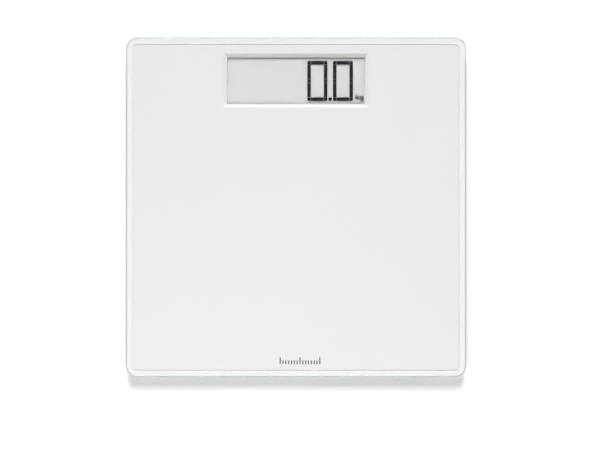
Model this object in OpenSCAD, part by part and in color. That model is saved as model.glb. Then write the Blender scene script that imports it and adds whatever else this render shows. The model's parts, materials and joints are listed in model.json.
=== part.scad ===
// Digital bathroom scale: a toughened glass platform bonded to a moulded tray, which stands on four
// load cells. The origin is on the floor under the middle of the scale, with +Z up, +X to the right
// and +Y towards the display.

/* [Platform] */
// Width of the glass, left to right
platform_w = 300; // [290:1:380]
// Depth of the glass, near edge to display end
platform_d = 300; // [250:1:380]
// Thickness of the toughened glass
glass_t = 6; // [4:0.5:10]
// Corner radius of the glass
glass_r = 10; // [6:1:20]
// Width of the flat ground along each edge of the glass
glass_arris = 0.8; // [0.4:0.1:1.5]
// Width of the clear margin round the back print
clear_margin = 6.2; // [5:0.2:7]
// Thickness of the back print
print_t = 0.2; // [0.1:0.05:0.4]
// Thickness of the foam tape and pads under the glass
tape_t = 0.8; // [0.5:0.1:1.2]

/* [Tray] */
// Gap from the floor to the underside of the tray
ground_gap = 3.5; // [3:0.1:8]
// Height of the tray, underside to rim
tray_h = 12.5; // [12.3:0.1:20]
// Thickness of the tray's floor
tray_floor_t = 2; // [1.6:0.1:2.4]
// Thickness of the tray's side walls
tray_wall = 2.6; // [2:0.1:4]
// How far the rim stands in from the edge of the glass
rim_inset = 1; // [0.5:0.1:2]
// How far the tray's side stands in from the edge of the glass
side_inset = 8; // [6:0.5:10]
// Thickness of the rim flange
flange_t = 3; // [2:0.5:5]
// Corner radius of the tray's side
side_r = 16; // [12:1:20]
// Thickness of the ribs
rib_t = 1.6; // [1.2:0.1:3]

/* [Display] */
// Width of the window in the print
window_w = 128; // [106:1:134]
// Depth of the window in the print, along Y
window_d = 47.6; // [41:0.2:48]
// Distance from the far edge of the glass to the middle of the window
window_inset = 38; // [38:1:60]
// How far the bezel's sloped walls step in
bezel_step = 3.1; // [1.5:0.1:4]
// Depth of the bezel's sloped walls
bezel_depth = 3.2; // [2:0.1:3.4]
// Height of a digit
digit_h = 35.3; // [25:0.1:38]
// Width of a digit
digit_w = 17.7; // [12:0.1:18]
// Width of a digit's bars
digit_bar = 3.2; // [1.5:0.1:4]
// Thickness of each sheet of display glass
lcd_glass_t = 1.1; // [0.7:0.1:1.2]
// Thickness of the circuit board
board_t = 1.2; // [0.8:0.2:1.6]

/* [Feet and load cells] */
// Distance from the edge of the glass to the middle of a foot
foot_inset = 37; // [36:1:45]
// Radius of the foot where it slides in the tray
foot_r = 18; // [14:0.5:18.5]
// Clearance round the foot in the tray
foot_clear = 0.3; // [0.3:0.05:0.6]
// How far a foot drops when the scale is lifted
foot_drop = 1.2; // [0.8:0.1:1.5]
// Height of the foot above the floor where its skirt starts
skirt_z = 1.2; // [0.8:0.1:1.6]
// Side of the square load cell
cell_side = 34; // [28:1:35]
// Thickness of the load cell
cell_t = 2; // [1.5:0.1:2.5]

/* [Battery] */
// Diameter of the coin cell
coin_d = 20; // [16:0.5:24]
// Thickness of the coin cell
coin_t = 3.2; // [2:0.1:3.4]
// Distance from the rib behind the battery bay to the bay
bay_gap = 12; // [11:1:20]
// Thickness of the battery door
door_t = 1.6; // [1.4:0.1:1.8]
// Clearance round the battery door
door_clear = 0.3; // [0.3:0.05:0.5]

/* [Button] */
// Radius of the unit button
button_r = 5; // [4:0.5:7]
// Travel of the unit button
button_travel = 0.5; // [0.3:0.1:0.5]
// Clearance round the unit button
button_clear = 0.3; // [0.3:0.05:0.5]

/* [Screws and leads] */
// Radius of a screw's shank
screw_r = 1.25; // [1:0.05:1.5]
// Radius of a screw's head
screw_head_r = 2.2; // [2:0.1:2.6]
// Height of a screw's head
screw_head_h = 1.4; // [1:0.1:1.6]
// Radius of a lead's insulation
lead_r = 0.55; // [0.4:0.05:0.6]
// Distance between leads that run side by side
lead_pitch = 1.5; // [1.4:0.1:1.8]

/* [Hidden] */
$fn = 48;

// The four corners: sign of X, sign of Y, name
CORNERS = [
    [-1, -1, "front_left"],
    [1, -1, "front_right"],
    [-1, 1, "rear_left"],
    [1, 1, "rear_right"],
];

// How far a cutting shape runs past the surface that it cuts
cut = 1;
// How far two shapes of one piece sink into each other
weld = 0.4;

// Heights
floor_top = ground_gap + tray_floor_t;
glass_z = ground_gap + tray_h;
print_z = glass_z - print_t;
tape_z = print_z - tape_t;

// Tray
side_w = platform_w - 2 * side_inset;
side_d = platform_d - 2 * side_inset;
flange_z = tape_z - flange_t;
hollow_w = side_w - 2 * tray_wall;
hollow_d = side_d - 2 * tray_wall;
hollow_r = side_r - tray_wall;
print_gap = 0.3;
print_r = glass_r - clear_margin;
edge_round = 2.5;
flange_round = 1.2;
tape_edge_gap = 0.3;
tape_width = 3.6;

// Display
window_y = platform_d / 2 - window_inset;
view_w = window_w - 2 * bezel_step;
view_d = window_d - 2 * bezel_step;
lcd_border = 2.4;
lcd_ledge = 3;
lcd_gap = 0.06;
reflector_t = 0.24;
lcd_z = print_z - bezel_depth;
lcd_front_z = lcd_z - lcd_glass_t;
lcd_rear_z = lcd_front_z - lcd_gap - lcd_glass_t;
reflector_z = lcd_rear_z - reflector_t;
board_top = reflector_z - 0.9;
board_z = board_top - board_t;
lcd_w = view_w + 2 * lcd_border;
lcd_y0 = window_y - view_d / 2 - lcd_border;
lcd_y1 = window_y + view_d / 2 + lcd_border;
bezel_wall = 2.5;
lcd_clear = 0.2;
bezel_w = lcd_w + 2 * (lcd_clear + bezel_wall);
bezel_y0 = lcd_y0 - lcd_ledge - lcd_clear - bezel_wall;
bezel_y1 = lcd_y1 + lcd_clear + bezel_wall;
ear_r = 3.8;
ear_t = 2;
ear_x = bezel_w / 2 + ear_r;
ear_y = 18;
board_w = 2 * (ear_x + ear_r + 0.6);
board_margin = 6.6;
board_y0 = bezel_y0 - board_margin;
screw_gap = 0.05;

// Digits, placed from the middle of the window
digits_right = view_w / 2 - 10.6;
digit_gap = 4.9;
digit_corner_r = 1.5;
segment_gap = 0.22;
point_r = 1.6;
unit_left = digits_right + 2.3;
unit_base = -view_d / 2 + 4.15;
unit_stroke = 0.8;

// Mark in the print
mark_w = 35;
mark_h = 6.2;
mark_ticks = 15;
mark_y = -platform_d / 2 + 14.4;
mark_x = 3.5;

// Feet and load cells
foot_x = platform_w / 2 - foot_inset;
foot_y = platform_d / 2 - foot_inset;
foot_hole_r = foot_r + foot_clear;
foot_ring_r = foot_hole_r + 2.4;
foot_ring_h = 0.8;
foot_flange_r = foot_r + 2.5;
foot_flange_t = 1.2;
foot_flange_z = floor_top + foot_drop + 0.2;
foot_boss_r = 3;
boss_gap = 0.05;
pad_r = foot_r - 2.2;
pad_seat = 1;
cell_z = foot_flange_z + foot_flange_t + 0.9;
cell_top = cell_z + cell_t;
cell_corner_r = 4;
cell_rim = 5;
tongue_w = 8;
tongue_pad_r = 6;
gauge_x = 8.5;
gauge_t = 0.1;
seal_r = 3.3;
seal_h = 1.3;
holder_side = cell_side + 12;
holder_r = 6;
holder_clear = 0.2;
tongue_room = 2;
holder_screw = holder_side / 2 - 3.2;
holder_seat = cell_z + 2.4;
post_r = 3.2;

// Ribs and lead slots
rib_x = foot_x - holder_side / 2 - 15;
front_rib_y = -(foot_y - holder_side / 2 - 15);
rear_rib_y = board_y0 - 5;
slot_w = 3 * lead_pitch + 3.5;

// Battery bay
bay_wall = 2.2;
coin_clear = 0.35;
door_w = coin_d + 5;
door_d = coin_d + 8;
door_axis_z = ground_gap + door_t / 2;
door_pin_r = door_t / 2 - 0.2;
door_pin_clear = 0.06;
door_pin_len = 1.4;
coin_z = ground_gap + door_t + 0.3;
coin_top = coin_z + coin_t;
bay_top = coin_top + 0.8;
bay_roof_t = 1.2;
bay_w = door_w + 2 * (door_clear + bay_wall);
bay_d = door_d + 2 * (door_clear + bay_wall);
coin_y = rear_rib_y - bay_gap - bay_d / 2;
door_axis_y = coin_y - door_d / 2 + door_t / 2;
contact_t = 0.3;
contact_w = 5;
contact_tail = 5;
finger_notch_r = 3;

// Unit button
button_x = 50;
button_y = board_y0 + 16;
button_proud = 0.3;
button_flange_r = button_r + 1.4;
button_flange_t = 0.8;
button_flange_z = floor_top - button_flange_t - 0.1;
button_ledge_z = button_flange_z - 0.2;
switch_h = 1.5;
switch_side = 6;
switch_z = board_z - switch_h;
plunger_r = 1.7;
plunger_proud = 0.7;
plunger_clear = 0.06;

// Leads: bends, and places that the routes are set out from
lead_sides = 8;
bend_r = 5;
bend_steps = 5;
lead_floor_z = floor_top + lead_r + 0.3;
lead_board_z = board_top + lead_r + 0.1;
lead_cell_z = cell_top + lead_r + 0.15;
lane_x = foot_x - holder_side / 2 - 6;
lane_y = rear_rib_y - 8;
drop_x = board_w / 2 - 14;
pad_x = board_w / 2 - 3;
battery_red_x = 6;
battery_black_x = 13;

// ---- Shared shapes ----

// A slab with rounded corners whose edge follows a profile of [inset, height] points, bottom to top.
module profiled_slab(w, d, r, profile) {
    low = profile[0][1];
    high = profile[len(profile) - 1][1];
    for (sx = [-1, 1], sy = [-1, 1])
        translate([sx * (w / 2 - r), sy * (d / 2 - r), 0])
            rotate_extrude()
                polygon(concat([[0, low]], [for (p = profile) [r - p[0], p[1]]], [[0, high]]));
    rotate([90, 0, 90])
        linear_extrude(w - 2 * r, center = true) edge_section(d, profile);
    rotate([90, 0, 0])
        linear_extrude(d - 2 * r, center = true) edge_section(w, profile);
}

module edge_section(width, profile) {
    polygon(concat(
        [for (p = profile) [width / 2 - p[0], p[1]]],
        [for (i = [len(profile) - 1 : -1 : 0]) [profile[i][0] - width / 2, profile[i][1]]]
    ));
}

// A rounded rectangle, as a flat outline
module rounded_outline(w, d, r) {
    square([w - 2 * r, d], center = true);
    square([w, d - 2 * r], center = true);
    for (sx = [-1, 1], sy = [-1, 1])
        translate([sx * (w / 2 - r), sy * (d / 2 - r)]) circle(r);
}

module rounded_block(w, d, r, z0, z1) {
    translate([0, 0, z0]) linear_extrude(z1 - z0) rounded_outline(w, d, r);
}

module block(x0, x1, y0, y1, z0, z1) {
    translate([x0, y0, z0]) cube([x1 - x0, y1 - y0, z1 - z0]);
}

module post(x, y, r, z0, z1) {
    translate([x, y, z0]) cylinder(r = r, h = z1 - z0);
}

// Points of a quarter round at the bottom edge of a slab
function rounded_foot(r, z) = [for (a = [0 : 18 : 90]) [r - r * sin(a), z + r - r * cos(a)]];

// Puts a piece at a corner, with its own +X pointing towards the middle of the scale.
module at_corner(c) {
    translate([c[0] * foot_x, c[1] * foot_y, 0])
        mirror([c[0] > 0 ? 1 : 0, 0, 0]) children();
}

// A pan-head screw with its head's seat at z, and a cross recess
module screw(x, y, seat, length) {
    recess = 0.5;
    tip = 1;
    translate([x, y, seat]) {
        difference() {
            cylinder(r = screw_head_r, h = screw_head_h);
            for (a = [0, 90])
                rotate([0, 0, a])
                    translate([-screw_head_r * 0.55, -recess / 2, screw_head_h - 0.8])
                        cube([screw_head_r * 1.1, recess, 0.8 + cut]);
        }
        translate([0, 0, -(length - tip)]) cylinder(r = screw_r, h = length - tip + 0.1);
        translate([0, 0, -length]) cylinder(r1 = 0.3, r2 = screw_r, h = tip);
    }
}

// ---- Leads ----

function unit(v) = v / norm(v);

// A route with each corner rounded
function eased(route, r) = [
    for (i = [0 : len(route) - 1])
        each (i == 0 || i == len(route) - 1)
            ? [route[i]]
            : let (
                back = route[i - 1] - route[i],
                ahead = route[i + 1] - route[i],
                reach = min(r, norm(back) * 0.45, norm(ahead) * 0.45),
                a = route[i] + unit(back) * reach,
                b = route[i] + unit(ahead) * reach
            )
            [for (s = [0 : bend_steps])
                let (t = s / bend_steps)
                    (1 - t) * (1 - t) * a + 2 * t * (1 - t) * route[i] + t * t * b]
];

// A round lead along a route that never runs straight up
module lead(route) {
    path = eased(route, bend_r);
    last = len(path) - 1;
    n = lead_sides;
    rings = [
        for (i = [0 : last])
            let (
                along = unit(path[min(i + 1, last)] - path[max(i - 1, 0)]),
                side = unit(cross(along, [0, 0, 1])),
                up = cross(side, along)
            )
            for (k = [0 : n - 1])
                path[i] + lead_r * (cos(k * 360 / n) * side + sin(k * 360 / n) * up)
    ];
    walls = [
        for (i = [0 : last - 1], k = [0 : n - 1])
            let (a = i * n + k, b = i * n + (k + 1) % n)
                each [[a, a + n, b + n], [a, b + n, b]]
    ];
    caps = [[for (k = [0 : n - 1]) k], [for (k = [n - 1 : -1 : 0]) last * n + k]];
    polyhedron(points = rings, faces = concat(walls, caps), convexity = 8);
}

// From a far corner's load cell straight to the board. s is the lead's place in the bundle.
module rear_lead(side, s) {
    lead([
        [-side * (foot_x - gauge_x - 1), foot_y + s * lead_pitch, lead_cell_z],
        [-side * (foot_x - holder_side / 2 - 4), foot_y + s * lead_pitch, lead_cell_z],
        [-side * (board_w / 2 + 4), foot_y + s * lead_pitch, lead_board_z],
        [-side * pad_x, foot_y + s * lead_pitch, lead_board_z],
    ]);
}

// From a near corner's load cell along the tray's floor to the board
module front_lead(side, s) {
    across = s * lead_pitch;
    lane = -side * (lane_x + across);
    lead([
        [-side * (foot_x - gauge_x - 1), -foot_y + across, lead_cell_z],
        [lane, -foot_y + across, lead_cell_z],
        [lane, -foot_y + holder_side / 2, lead_cell_z],
        [lane, front_rib_y - 6, lead_floor_z],
        [lane, lane_y + across, lead_floor_z],
        [-side * (drop_x + across), lane_y + across, lead_floor_z],
        [-side * (drop_x + across), rear_rib_y - 3, lead_floor_z],
        [-side * (drop_x + across), board_y0 - 1, lead_board_z],
        [-side * (drop_x + across), board_y0 + 3, lead_board_z],
    ]);
}

// Where the leads are soldered to the board
function solder_pads() = concat(
    [for (side = [-1, 1], s = [-1 : 1]) [side * pad_x, foot_y + s * lead_pitch]],
    [for (side = [-1, 1], s = [-1 : 1]) [side * (drop_x + s * lead_pitch), board_y0 + 3]],
    [[battery_red_x, board_y0 + 3], [battery_black_x, board_y0 + 3]]
);

// One colour of lead from every load cell
module cell_leads(s) {
    for (side = [-1, 1]) {
        rear_lead(side, s);
        front_lead(side, s);
    }
}

module red_leads() {
    tail_y = coin_y + bay_d / 2 + contact_tail;
    color("crimson") {
        cell_leads(-1);
        lead([
            [0, tail_y - 3, bay_top - contact_t - lead_r - 0.02],
            [0, tail_y + 1.5, bay_top - contact_t - lead_r - 0.02],
            [battery_red_x, tail_y + 5.5, lead_floor_z],
            [battery_red_x, board_y0 - 1, lead_board_z],
            [battery_red_x, board_y0 + 3, lead_board_z],
        ]);
    }
}

module white_leads() {
    color("white") cell_leads(0);
}

module black_leads() {
    tail_x = bay_w / 2 + contact_tail;
    color("black") {
        cell_leads(1);
        lead([
            [tail_x - 3, coin_y, bay_top - contact_t - lead_r - 0.02],
            [tail_x + 4, coin_y, bay_top - contact_t - lead_r - 0.02],
            [tail_x + 4, coin_y + 14, lead_floor_z],
            [battery_black_x, rear_rib_y - 4, lead_floor_z],
            [battery_black_x, board_y0 - 1, lead_board_z],
            [battery_black_x, board_y0 + 3, lead_board_z],
        ]);
    }
}

// ---- Top ----

module glass_platform() {
    color([0.86, 0.93, 0.91, 0.45])
        translate([0, 0, glass_z])
            profiled_slab(platform_w, platform_d, glass_r, [
                [glass_arris, 0],
                [0, glass_arris],
                [0, glass_t - glass_arris],
                [glass_arris, glass_t],
            ]);
}

module mark_outline() {
    pitch = mark_w / (mark_ticks - 1);
    tick_w = 0.9;
    for (i = [0 : mark_ticks - 1]) {
        h = i % 7 == 0 ? mark_h : mark_h * 0.55;
        translate([mark_x - mark_w / 2 + i * pitch - tick_w / 2, mark_y - mark_h / 2])
            square([tick_w, h]);
    }
}

module back_print() {
    color([0.91, 0.91, 0.92])
        translate([0, 0, print_z])
            linear_extrude(print_t)
                difference() {
                    rounded_outline(platform_w - 2 * clear_margin,
                                    platform_d - 2 * clear_margin, print_r);
                    translate([0, window_y]) square([window_w, window_d], center = true);
                    mark_outline();
                }
}

module print_mark() {
    color([0.08, 0.08, 0.08]) translate([0, 0, print_z]) linear_extrude(print_t) mark_outline();
}

module platform_tape() {
    outer = clear_margin + tape_edge_gap;
    inner = outer + tape_width;
    color([0.3, 0.3, 0.32])
        translate([0, 0, tape_z])
            linear_extrude(tape_t)
                difference() {
                    rounded_outline(platform_w - 2 * outer, platform_d - 2 * outer, print_r);
                    square([platform_w - 2 * inner, platform_d - 2 * inner], center = true);
                }
}

module holder_pads() {
    pad_side = holder_side - 8;
    color([0.3, 0.3, 0.32])
        for (c = CORNERS) at_corner(c)
            difference() {
                rounded_block(pad_side, pad_side, 3, tape_z, print_z);
                for (sx = [-1, 1], sy = [-1, 1])
                    post(sx * holder_screw, sy * holder_screw, screw_head_r + 0.6,
                         tape_z - cut, print_z + cut);
            }
}

// ---- Display ----

module display_bezel() {
    color("white")
        difference() {
            union() {
                block(-bezel_w / 2, bezel_w / 2, bezel_y0, bezel_y1, board_top, print_z);
                for (sx = [-1, 1], sy = [-1, 1]) {
                    post(sx * ear_x, window_y + sy * ear_y, ear_r, board_top, board_top + ear_t);
                    block(sx > 0 ? bezel_w / 2 - weld : -ear_x, sx > 0 ? ear_x : weld - bezel_w / 2,
                          window_y + sy * ear_y - ear_r, window_y + sy * ear_y + ear_r,
                          board_top, board_top + ear_t);
                }
            }
            // Sloped window, widest under the glass
            translate([0, window_y, lcd_z])
                linear_extrude(bezel_depth, slices = 1,
                               scale = [window_w / view_w, window_d / view_d])
                    square([view_w, view_d], center = true);
            translate([0, window_y, print_z])
                linear_extrude(cut) square([window_w, window_d], center = true);
            // Pocket for the display glass, with the ledge side deeper
            block(-lcd_w / 2 - lcd_clear, lcd_w / 2 + lcd_clear,
                  lcd_y0 - lcd_ledge - lcd_clear, lcd_y1 + lcd_clear, board_top - cut, lcd_z);
            for (sx = [-1, 1], sy = [-1, 1])
                post(sx * ear_x, window_y + sy * ear_y, screw_r + screw_gap,
                     board_top - cut, board_top + ear_t + cut);
        }
}

module lcd_front_glass() {
    color([0.85, 0.88, 0.9, 0.35])
        block(-lcd_w / 2, lcd_w / 2, lcd_y0 - lcd_ledge, lcd_y1, lcd_front_z, lcd_z);
}

module lcd_rear_glass() {
    color([0.8, 0.83, 0.85, 0.4])
        block(-lcd_w / 2, lcd_w / 2, lcd_y0, lcd_y1, lcd_rear_z, lcd_front_z - lcd_gap);
}

module lcd_reflector() {
    color([0.82, 0.83, 0.84])
        block(-lcd_w / 2 + 0.5, lcd_w / 2 - 0.5, lcd_y0 + 0.5, lcd_y1 - 0.5, reflector_z, lcd_rear_z);
}

// A zero of a segment display, with hairline gaps between its segments
module digit_zero() {
    inner_w = digit_w - 2 * digit_bar;
    inner_h = digit_h - 2 * digit_bar;
    difference() {
        rounded_outline(digit_w, digit_h, digit_corner_r);
        square([inner_w, inner_h], center = true);
        for (s = [-1, 1]) {
            translate([s * inner_w / 2, 0])
                square([segment_gap, digit_h + cut], center = true);
            translate([0, s * inner_h / 2])
                square([digit_w + cut, segment_gap], center = true);
            translate([0, s * digit_bar / 2])
                square([digit_w + cut, segment_gap], center = true);
        }
    }
}

module stroke(from, to, width) {
    run = to - from;
    translate(from)
        rotate([0, 0, atan2(run[1], run[0])])
            translate([0, -width / 2]) square([norm(run), width]);
}

module letter_k() {
    stroke([unit_stroke / 2, 0], [unit_stroke / 2, 5.1], unit_stroke);
    stroke([0.5, 1.5], [2.9, 3.5], unit_stroke);
    stroke([1.35, 2.1], [3, 0.05], unit_stroke);
}

module letter_g() {
    bowl = 1.62;
    hollow = bowl - unit_stroke;
    lap = 0.1;
    tail_drop = 0.9;
    translate([bowl, bowl])
        difference() {
            circle(bowl);
            circle(hollow);
        }
    translate([2 * bowl - unit_stroke, 0]) square([unit_stroke, 2 * bowl]);
    difference() {
        translate([bowl, 0]) circle(bowl);
        translate([bowl, 0]) circle(hollow);
        translate([-cut, lap]) square([2 * bowl + 2 * cut, bowl + cut]);
        translate([-cut, -tail_drop]) square([bowl + cut, tail_drop + lap + cut]);
    }
}

module lcd_segments() {
    color([0.15, 0.15, 0.17])
        translate([0, window_y, lcd_front_z - lcd_gap])
            linear_extrude(lcd_gap) {
                for (i = [0, 1])
                    translate([digits_right - digit_w / 2 - i * (digit_w + digit_gap), 0])
                        digit_zero();
                translate([digits_right - digit_w - digit_gap / 2, point_r - digit_h / 2])
                    circle(point_r);
                translate([unit_left, unit_base]) letter_k();
                translate([unit_left + 3.6, unit_base]) letter_g();
            }
}

module contact_strip() {
    strip_w = 2;
    strip_y = lcd_y0 - lcd_ledge / 2 - 0.2;
    color([0.85, 0.6, 0.65])
        block(-lcd_w / 2 + 4, lcd_w / 2 - 4, strip_y - strip_w / 2, strip_y + strip_w / 2,
              board_top, lcd_front_z);
}

module main_board() {
    color([0.1, 0.4, 0.22])
        difference() {
            block(-board_w / 2, board_w / 2, board_y0, bezel_y1, board_z, board_top);
            for (sx = [-1, 1], sy = [-1, 1])
                post(sx * ear_x, window_y + sy * ear_y, screw_r + screw_gap,
                     board_z - cut, board_top + cut);
        }
}

module controller_blob() {
    r = 6;
    h = 1.1;
    bulge = (r * r + h * h) / (2 * h);
    color([0.07, 0.07, 0.07])
        translate([0, window_y, board_z])
            rotate([180, 0, 0])
                rotate_extrude()
                    polygon(concat([[0, 0]],
                        [for (i = [0 : 8])
                            let (x = r * (1 - i / 8)) [x, sqrt(bulge * bulge - x * x) - bulge + h]]));
}

module crystal() {
    r = 0.95;
    color([0.75, 0.76, 0.78])
        translate([14, window_y - 3, board_z - r - 0.05]) rotate([-90, 0, 0]) cylinder(r = r, h = 6);
}

module dome(r, h) {
    steps = 8;
    rotate_extrude()
        polygon(concat([[0, 0]],
            [for (i = [0 : steps]) let (a = 90 * i / steps) [r * cos(a), h * sin(a)]]));
}

module solder_joints() {
    color([0.78, 0.79, 0.8])
        for (p = solder_pads()) translate([p[0], p[1], board_top]) dome(lead_pitch * 0.47, 1.5);
}

// Resistors and capacitors in rows round the controller
module chip_parts() {
    color([0.72, 0.6, 0.42])
        for (row = [-1, 1], i = [0 : 6])
            translate([-13 + i * 4.4, window_y + row * 11, board_z - 0.5])
                cube([2, 1.25, 1], center = true);
}

module switch_body() {
    color([0.2, 0.2, 0.22])
        translate([button_x, button_y, 0])
            difference() {
                translate([0, 0, switch_z + switch_h / 2])
                    cube([switch_side, switch_side, switch_h], center = true);
                post(0, 0, plunger_r + plunger_clear, switch_z - cut, board_z - 0.2);
            }
}

module switch_plunger() {
    color([0.9, 0.9, 0.88])
        post(button_x, button_y, plunger_r, switch_z - plunger_proud, board_z - 0.3 - button_travel);
}

module display_screws() {
    color("silver")
        for (sx = [-1, 1], sy = [-1, 1])
            screw(sx * ear_x, window_y + sy * ear_y, board_top + ear_t,
                  board_top + ear_t - ground_gap - 1.2);
}

// ---- Tray ----

// The tray's outer skin without its hollow
module tray_skin() {
    translate([0, 0, ground_gap])
        profiled_slab(side_w, side_d, side_r, concat(
            rounded_foot(edge_round, 0),
            [[0, flange_z + weld - ground_gap]]
        ));
    profiled_slab(platform_w - 2 * rim_inset, platform_d - 2 * rim_inset, glass_r - rim_inset,
        concat(rounded_foot(flange_round, flange_z), [[0, glass_z]]));
    for (c = CORNERS) at_corner(c)
        post(0, 0, foot_ring_r, ground_gap - foot_ring_h, ground_gap + weld);
}

module tray_ribs() {
    top = tape_z;
    low = floor_top - weld;
    half_w = hollow_w / 2 + weld;
    half_d = hollow_d / 2 + weld;
    for (y = [front_rib_y, 0])
        block(-half_w, half_w, y - rib_t / 2, y + rib_t / 2, low, top);
    block(-half_w, half_w, rear_rib_y - rib_t / 2, rear_rib_y + rib_t / 2, low, top);
    for (s = [-1, 1])
        block(s * rib_x - rib_t / 2, s * rib_x + rib_t / 2, -half_d, rear_rib_y, low, top);
    block(-rib_t / 2, rib_t / 2, -half_d, 0, low, top);
}

module tray_posts() {
    for (c = CORNERS) at_corner(c)
        for (sx = [-1, 1], sy = [-1, 1])
            post(sx * holder_screw, sy * holder_screw, post_r, floor_top - weld, cell_z);
    for (sx = [-1, 1], sy = [-1, 1])
        post(sx * ear_x, window_y + sy * ear_y, ear_r, floor_top - weld, board_z);
}

// The gaps in the ribs that the leads run through
module lead_slots() {
    tall = lead_board_z + lead_r + 0.8;
    for (s = [-1, 1]) {
        for (y = [front_rib_y, 0])
            block(s * lane_x - slot_w / 2, s * lane_x + slot_w / 2, y - rib_t, y + rib_t,
                  floor_top, tall);
        block(s * rib_x - rib_t, s * rib_x + rib_t, lane_y - slot_w / 2, lane_y + slot_w / 2,
              floor_top, tall);
        block(s * drop_x - slot_w / 2, s * drop_x + slot_w / 2, rear_rib_y - rib_t,
              rear_rib_y + rib_t, floor_top, tall);
    }
    block(battery_red_x - 3, battery_black_x + 3, rear_rib_y - rib_t, rear_rib_y + rib_t,
          floor_top, tall);
}

module tray_holes() {
    for (c = CORNERS) at_corner(c) {
        post(0, 0, foot_hole_r, 0, floor_top + weld);
        for (sx = [-1, 1], sy = [-1, 1])
            post(sx * holder_screw, sy * holder_screw, screw_r + screw_gap,
                 ground_gap + 1, cell_z + cut);
    }
    for (sx = [-1, 1], sy = [-1, 1])
        post(sx * ear_x, window_y + sy * ear_y, screw_r + screw_gap, ground_gap + 1, board_z + cut);
    post(button_x, button_y, button_r + button_clear, 0, floor_top + cut);
    post(button_x, button_y, button_flange_r + button_clear, button_ledge_z, floor_top + cut);
}

// Room for the battery, its door and its contacts
module bay_room() {
    half_w = door_w / 2 + door_clear;
    y0 = coin_y - door_d / 2 - door_clear;
    y1 = coin_y + door_d / 2 + door_clear;
    block(-half_w, half_w, y0, y1, 0, ground_gap + door_t + 0.25);
    translate([0, coin_y, 0]) cylinder(r = coin_d / 2 + coin_clear, h = bay_top);
    // Pin holes for the door
    translate([0, door_axis_y, door_axis_z])
        rotate([0, 90, 0])
            cylinder(r = door_pin_r + door_pin_clear,
                     h = door_w + 2 * (door_pin_len + 0.3), center = true);
    // Slots for the contacts
    block(0, bay_w / 2 + cut, coin_y - contact_w / 2 - 0.2, coin_y + contact_w / 2 + 0.2,
          bay_top - contact_t - 0.15, bay_top);
    block(-contact_w / 2 - 0.2, contact_w / 2 + 0.2, coin_y, coin_y + bay_d / 2 + cut,
          bay_top - contact_t - 0.15, bay_top);
    block(-contact_w / 2 - 0.2, contact_w / 2 + 0.2, coin_y, coin_y + coin_d / 2 + 1.1,
          coin_z, bay_top);
    // Notch for a fingertip at the door's free end
    translate([0, y1 + finger_notch_r / 2, ground_gap - finger_notch_r / 2])
        sphere(r = finger_notch_r);
}

module base_tray() {
    label_w = 70;
    label_d = 32;
    color([0.95, 0.95, 0.94])
        difference() {
            union() {
                difference() {
                    tray_skin();
                    rounded_block(hollow_w, hollow_d, hollow_r, floor_top, glass_z + cut);
                    rounded_block(platform_w - 2 * (clear_margin - print_gap),
                                  platform_d - 2 * (clear_margin - print_gap),
                                  print_r + print_gap, tape_z, glass_z + cut);
                }
                tray_ribs();
                tray_posts();
                rounded_block_at(0, coin_y, bay_w, bay_d, 2, floor_top - weld, bay_top + bay_roof_t);
            }
            lead_slots();
            tray_holes();
            bay_room();
            rounded_block_at(0, -platform_d / 6, label_w + 1, label_d + 1, 2,
                             ground_gap - cut, ground_gap + 0.2);
        }
}

module rounded_block_at(x, y, w, d, r, z0, z1) {
    translate([x, y, 0]) rounded_block(w, d, r, z0, z1);
}

module rating_label() {
    color([0.88, 0.88, 0.86])
        rounded_block_at(0, -platform_d / 6, 70, 32, 1.5, ground_gap + 0.05, ground_gap + 0.2);
}

// ---- Battery ----

module battery_door() {
    y1 = coin_y + door_d / 2;
    latch_w = 9;
    latch_l = 6;
    latch_slit = 0.7;
    color([0.95, 0.95, 0.94])
        difference() {
            union() {
                block(-door_w / 2, door_w / 2, door_axis_y, y1, ground_gap, ground_gap + door_t);
                translate([0, door_axis_y, door_axis_z])
                    rotate([0, 90, 0]) cylinder(r = door_t / 2, h = door_w, center = true);
                translate([0, door_axis_y, door_axis_z])
                    rotate([0, 90, 0])
                        cylinder(r = door_pin_r, h = door_w + 2 * door_pin_len, center = true);
            }
            // Slits either side of the latch tongue
            for (s = [-1, 1])
                block(s * latch_w / 2 - latch_slit / 2, s * latch_w / 2 + latch_slit / 2,
                      y1 - latch_l, y1 + cut, 0, floor_top);
            // Grip grooves
            for (i = [0 : 3])
                block(-latch_w / 2 + 1, latch_w / 2 - 1, y1 - 4.6 + i * 1.1, y1 - 4.1 + i * 1.1,
                      0, ground_gap + 0.35);
        }
}

module coin_cell() {
    rim = 0.5;
    cap_h = 0.35;
    color([0.8, 0.8, 0.82])
        translate([0, coin_y, coin_z])
            rotate_extrude()
                polygon([
                    [0, 0], [coin_d / 2 - rim, 0], [coin_d / 2, rim],
                    [coin_d / 2, coin_t - cap_h - 0.3], [coin_d / 2 - 0.3, coin_t - cap_h],
                    [coin_d / 2 - 1.2, coin_t - cap_h], [coin_d / 2 - 1.5, coin_t],
                    [0, coin_t],
                ]);
}

module battery_negative_contact() {
    strip_z = bay_top - contact_t;
    color([0.85, 0.75, 0.5])
        translate([0, coin_y + contact_w / 2, 0])
            rotate([90, 0, 0])
                linear_extrude(contact_w)
                    polygon([
                        [-5, coin_top], [-4, coin_top], [3, strip_z],
                        [bay_w / 2 + contact_tail, strip_z], [bay_w / 2 + contact_tail, bay_top],
                        [2.6, bay_top], [-4.4, coin_top + contact_t], [-5, coin_top + contact_t],
                    ]);
}

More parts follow.
